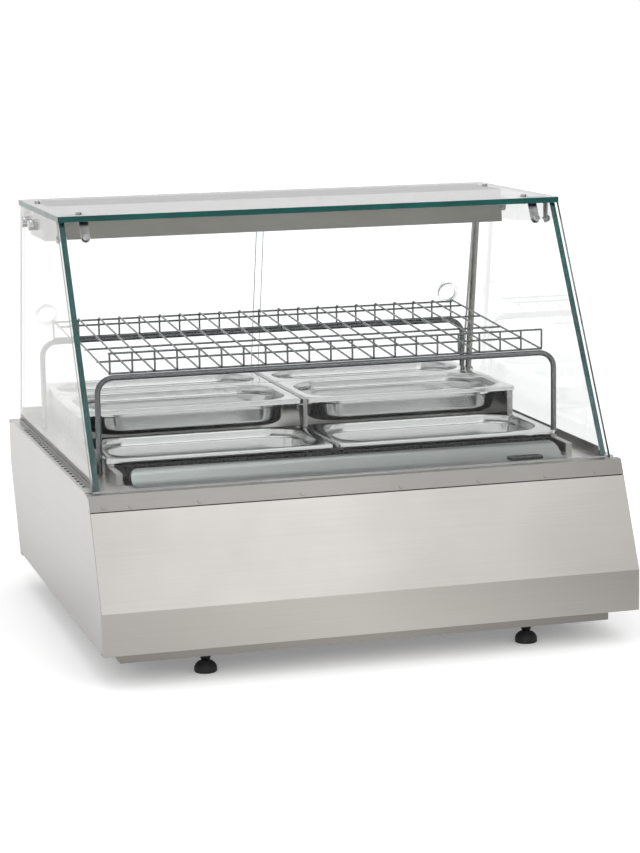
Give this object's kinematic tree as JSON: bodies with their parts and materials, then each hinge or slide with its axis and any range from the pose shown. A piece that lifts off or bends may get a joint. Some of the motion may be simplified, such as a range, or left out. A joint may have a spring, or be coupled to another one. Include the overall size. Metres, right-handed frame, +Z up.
{
  "type": "refrigerated display case",
  "caption": "Countertop refrigerated display case: stainless base with sloped front, slanted glass hood, sliding rear doors, food pans and a wire shelf under a lamp.",
  "frame": {"origin": "centre of the footprint at worktop height", "axes": "+X to the right seen from the customer's side, +Y towards the operator's side, +Z up"},
  "size_m": [0.758, 0.724, 0.6017],
  "materials": {
    "stainless": "brushed, horizontal grain",
    "pan_steel": "satin pressed",
    "galvanised": "satin grey",
    "rail_steel": "satin",
    "bright_steel": "polished",
    "wire_steel": "bright plated wire",
    "rubber": "matte",
    "glass": "clear float glass with green polished edges",
    "foam": "rigid foam",
    "fins": "mill finish",
    "black_paint": "satin black",
    "copper": "drawn copper tube",
    "black_plastic": "fine texture",
    "grey_plastic": "fine texture",
    "lamp_glass": "frosted tube"
  },
  "bodies": {
    "casing": {"side_panel_left": "stainless", "side_panel_right": "stainless", "front_panel": "stainless", "front_trim": "stainless", "rear_panel": "stainless", "deck": "stainless", "plinth": "stainless", "tub": "stainless", "duct_cover": "stainless", "base_pan": "galvanised", "condenser_shroud": "galvanised", "lamp_housing": "galvanised", "pan_rails": "rail_steel", "glass_channels": "rail_steel", "lower_track": "rail_steel", "upper_track": "rail_steel", "corner_brackets": "rail_steel", "trim_screws": "bright_steel", "glass_fixings": "bright_steel", "lamp_conduit": "bright_steel", "glass_front": "glass", "glass_left": "glass", "glass_right": "glass", "glass_top": "glass", "insulation": "foam", "evaporator": "fins", "condenser": "fins", "compressor": "black_paint", "pipework": "copper", "rear_controls": "black_plastic", "cable_gland": "black_plastic", "thermometer": "black_plastic", "fan_frames": "black_plastic", "lamp_tube": "lamp_glass"},
    "door_left": {"door_left": "glass", "door_pull_left": "grey_plastic"},
    "door_right": {"door_right": "glass", "door_pull_right": "grey_plastic"},
    "shelf": {"shelf_mesh": "wire_steel", "shelf_frames": "wire_steel"},
    "pan_front_left": {"pan_front_left": "pan_steel"},
    "pan_front_right": {"pan_front_right": "pan_steel"},
    "pan_middle_left": {"pan_middle_left": "pan_steel"},
    "pan_middle_right": {"pan_middle_right": "pan_steel"},
    "pan_rear_left": {"pan_rear_left": "pan_steel"},
    "pan_rear_right": {"pan_rear_right": "pan_steel"},
    "foot_front_left": {"foot_pad_front_left": "rubber", "foot_stem_front_left": "bright_steel"},
    "foot_rear_left": {"foot_pad_rear_left": "rubber", "foot_stem_rear_left": "bright_steel"},
    "foot_front_right": {"foot_pad_front_right": "rubber", "foot_stem_front_right": "bright_steel"},
    "foot_rear_right": {"foot_pad_rear_right": "rubber", "foot_stem_rear_right": "bright_steel"},
    "thermostat_knob": {"thermostat_knob": "black_plastic"},
    "power_rocker": {"power_rocker": "black_plastic"},
    "lamp_rocker": {"lamp_rocker": "black_plastic"},
    "evaporator_fan_left": {"evaporator_fan_left": "black_plastic"},
    "evaporator_fan_right": {"evaporator_fan_right": "black_plastic"},
    "condenser_fan": {"condenser_fan": "black_plastic"}
  },
  "joints": [
    {"name": "door_left_slide", "type": "slide", "parent": "casing", "child": "door_left", "axis": [1, 0, 0], "range_m": [0, 0.344]},
    {"name": "door_right_slide", "type": "slide", "parent": "casing", "child": "door_right", "axis": [-1, 0, 0], "range_m": [0, 0.344]},
    {"name": "shelf_lift", "type": "slide", "parent": "casing", "child": "shelf", "axis": [0, 0, 1], "range_m": [0, 0.03]},
    {"name": "pan_front_left_lift", "type": "slide", "parent": "casing", "child": "pan_front_left", "axis": [0, 0, 1], "range_m": [0, 0.03]},
    {"name": "pan_front_right_lift", "type": "slide", "parent": "casing", "child": "pan_front_right", "axis": [0, 0, 1], "range_m": [0, 0.03]},
    {"name": "pan_middle_left_lift", "type": "slide", "parent": "casing", "child": "pan_middle_left", "axis": [0, 0, 1], "range_m": [0, 0.05]},
    {"name": "pan_middle_right_lift", "type": "slide", "parent": "casing", "child": "pan_middle_right", "axis": [0, 0, 1], "range_m": [0, 0.05]},
    {"name": "pan_rear_left_lift", "type": "slide", "parent": "casing", "child": "pan_rear_left", "axis": [0, -0.2241, 0.9746], "range_m": [0, 0.03]},
    {"name": "pan_rear_right_lift", "type": "slide", "parent": "casing", "child": "pan_rear_right", "axis": [0, -0.2241, 0.9746], "range_m": [0, 0.03]},
    {"name": "foot_front_left_level", "type": "slide", "parent": "casing", "child": "foot_front_left", "axis": [0, 0, -1], "range_m": [0, 0.008]},
    {"name": "foot_rear_left_level", "type": "slide", "parent": "casing", "child": "foot_rear_left", "axis": [0, 0, -1], "range_m": [0, 0.008]},
    {"name": "foot_front_right_level", "type": "slide", "parent": "casing", "child": "foot_front_right", "axis": [0, 0, -1], "range_m": [0, 0.008]},
    {"name": "foot_rear_right_level", "type": "slide", "parent": "casing", "child": "foot_rear_right", "axis": [0, 0, -1], "range_m": [0, 0.008]},
    {"name": "thermostat_turn", "type": "hinge", "parent": "casing", "child": "thermostat_knob", "pos_m": [-0.15, 0.34113, 0.13575], "axis": [0, 0.9115, -0.4113], "range_deg": [0, 270]},
    {"name": "power_rocker_tilt", "type": "hinge", "parent": "casing", "child": "power_rocker", "pos_m": [-0.09, 0.34113, 0.13575], "axis": [1, 0, 0], "range_deg": [0, 20]},
    {"name": "lamp_rocker_tilt", "type": "hinge", "parent": "casing", "child": "lamp_rocker", "pos_m": [-0.05, 0.34113, 0.13575], "axis": [1, 0, 0], "range_deg": [0, 20]},
    {"name": "evaporator_fan_left_spin", "type": "hinge", "parent": "casing", "child": "evaporator_fan_left", "pos_m": [-0.14, 0.002, 0.19], "axis": [0, 1, 0], "continuous": true},
    {"name": "evaporator_fan_right_spin", "type": "hinge", "parent": "casing", "child": "evaporator_fan_right", "pos_m": [0.14, 0.002, 0.19], "axis": [0, 1, 0], "continuous": true},
    {"name": "condenser_fan_spin", "type": "hinge", "parent": "casing", "child": "condenser_fan", "pos_m": [0.185, 0.222, 0.122], "axis": [0, 1, 0], "continuous": true}
  ]
}
